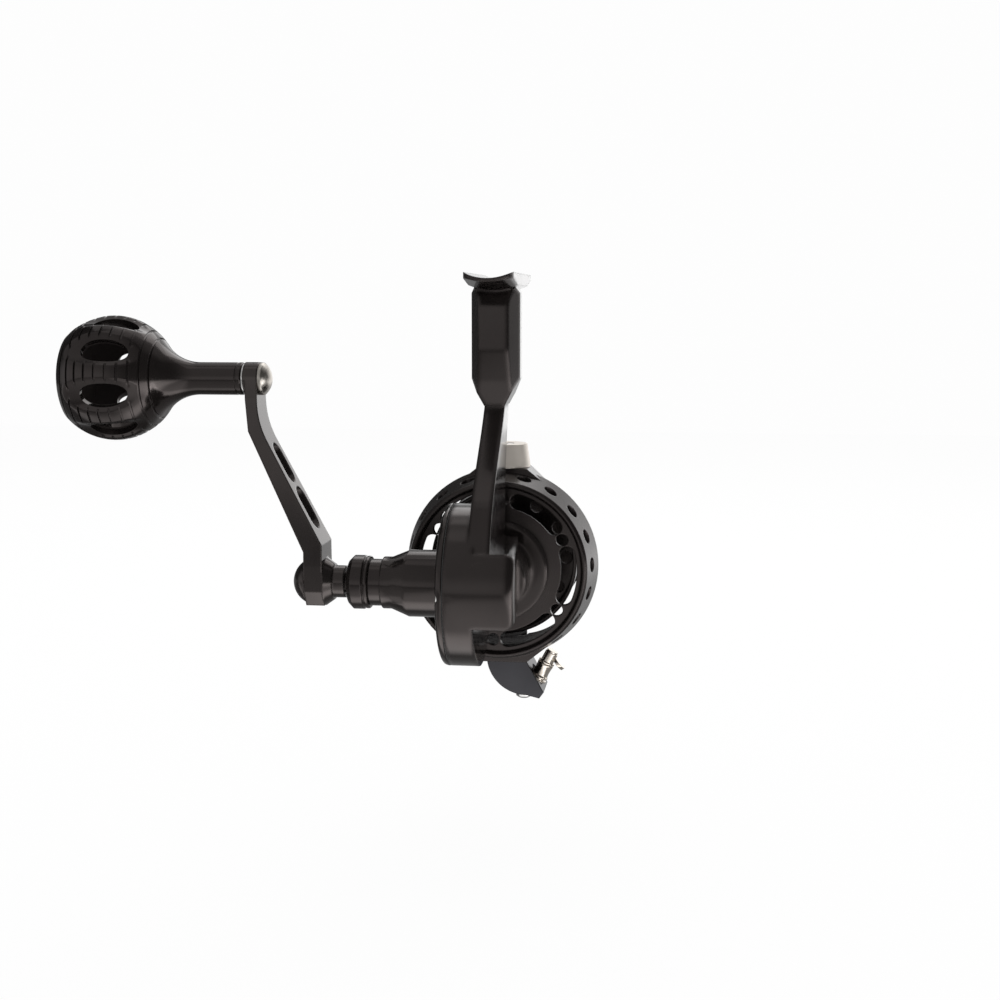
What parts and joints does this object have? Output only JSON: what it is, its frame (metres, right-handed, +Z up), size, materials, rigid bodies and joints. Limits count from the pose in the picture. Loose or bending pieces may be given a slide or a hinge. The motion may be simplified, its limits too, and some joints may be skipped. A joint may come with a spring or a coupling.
{
  "type": "spinning fishing reel",
  "caption": "Open-face spinning reel with a manual pick-up: black machined body on a swept stem and foot, pierced rotor, line roller, spool, crank handle and slotted ball knob.",
  "frame": {"origin": "middle of the foot's saddle, where the rod lies", "axes": "+Z up out of the saddle towards the rod, +Y forward along the spool axis, +X to the right, handle on -X"},
  "size_m": [0.1691, 0.1135, 0.149],
  "materials": {
    "black_anodised": "gloss black anodised",
    "slate_anodised": "dark slate anodised",
    "champagne_nickel": "champagne nickel, polished",
    "bright_steel": "bright turned steel",
    "bronze": "machined bronze",
    "nylon": "natural nylon",
    "rubber": "black rubber",
    "carbon_fibre": "woven carbon fibre"
  },
  "bodies": {
    "frame": {"body": "black_anodised", "side_plate": "black_anodised", "side_plate_gasket": "rubber", "side_plate_screws": "bright_steel", "boss_cap": "black_anodised", "drive_seal": "rubber", "drive_bearing_inner": "bright_steel", "drive_bearing_outer": "bright_steel", "pinion_bearing_rear": "bright_steel", "pinion_bearing_front": "bright_steel", "clutch_housing": "bright_steel", "clutch_retainer": "bright_steel", "clutch_screws": "bright_steel", "worm_bush_front": "bronze", "worm_bush_rear": "bronze", "guide_rod": "bright_steel"},
    "handle": {"drive_shaft": "bright_steel", "drive_gear": "bronze", "gear_nut": "bright_steel", "handle_arm": "black_anodised", "handle_screw": "black_anodised", "knob_axle": "bright_steel", "knob_washer": "bright_steel", "knob_screw": "bright_steel"},
    "grip": {"knob": "black_anodised", "knob_bushings": "nylon"},
    "rotor": {"pinion": "bright_steel", "clutch_sleeve": "bright_steel", "rotor": "black_anodised", "rotor_nut": "bright_steel", "counterweight": "champagne_nickel", "counterweight_screw": "bright_steel", "pickup_arm": "slate_anodised", "pickup_screw": "bright_steel", "roller_axle": "champagne_nickel", "roller_washers": "champagne_nickel", "line_finger": "champagne_nickel"},
    "roller": {"line_roller": "champagne_nickel", "roller_bush": "nylon"},
    "worm": {"worm_shaft": "bright_steel", "worm_gear": "bronze"},
    "spool_shaft": {"main_shaft": "bright_steel", "crosshead": "bronze", "crosshead_screw": "bright_steel", "pawl": "bright_steel", "click_ratchet": "bright_steel", "drag_plates": "bright_steel"},
    "spool": {"spool": "black_anodised", "spool_bearing": "bright_steel", "friction_washers": "carbon_fibre", "drag_clip": "bright_steel", "click_pawl": "nylon"},
    "drag": {"drag_knob": "black_anodised", "drag_nut": "bronze", "drag_springs": "bright_steel"}
  },
  "joints": [
    {"name": "handle_spin", "type": "hinge", "parent": "frame", "child": "handle", "pos_m": [-0.03, -0.029, -0.097], "axis": [1, 0, 0], "continuous": true},
    {"name": "knob_spin", "type": "hinge", "parent": "handle", "child": "grip", "pos_m": [-0.09, -0.029, -0.0317], "axis": [1, 0, 0], "continuous": true},
    {"name": "rotor_spin", "type": "hinge", "parent": "frame", "child": "rotor", "pos_m": [0, 0.006, -0.097], "axis": [0, 1, 0], "continuous": true},
    {"name": "roller_spin", "type": "hinge", "parent": "rotor", "child": "roller", "pos_m": [0.0131, 0.021, -0.1368], "axis": [0.4695, 0, 0.8829], "continuous": true},
    {"name": "worm_spin", "type": "hinge", "parent": "frame", "child": "worm", "pos_m": [0, -0.029, -0.089], "axis": [0, 1, 0], "continuous": true},
    {"name": "spool_travel", "type": "slide", "parent": "frame", "child": "spool_shaft", "axis": [0, 1, 0], "range_m": [-0.007, 0.007]},
    {"name": "spool_spin", "type": "hinge", "parent": "spool_shaft", "child": "spool", "pos_m": [0, 0.036, -0.097], "axis": [0, 1, 0], "continuous": true},
    {"name": "drag_turn", "type": "hinge", "parent": "spool_shaft", "child": "drag", "pos_m": [0, 0.051, -0.097], "axis": [0, 1, 0], "range_deg": [-540, 540]}
  ],
  "couplings": [
    {"joint": "rotor_spin", "follows": "handle_spin", "ratio": 4.1},
    {"joint": "worm_spin", "follows": "handle_spin", "ratio": -3.1889}
  ]
}
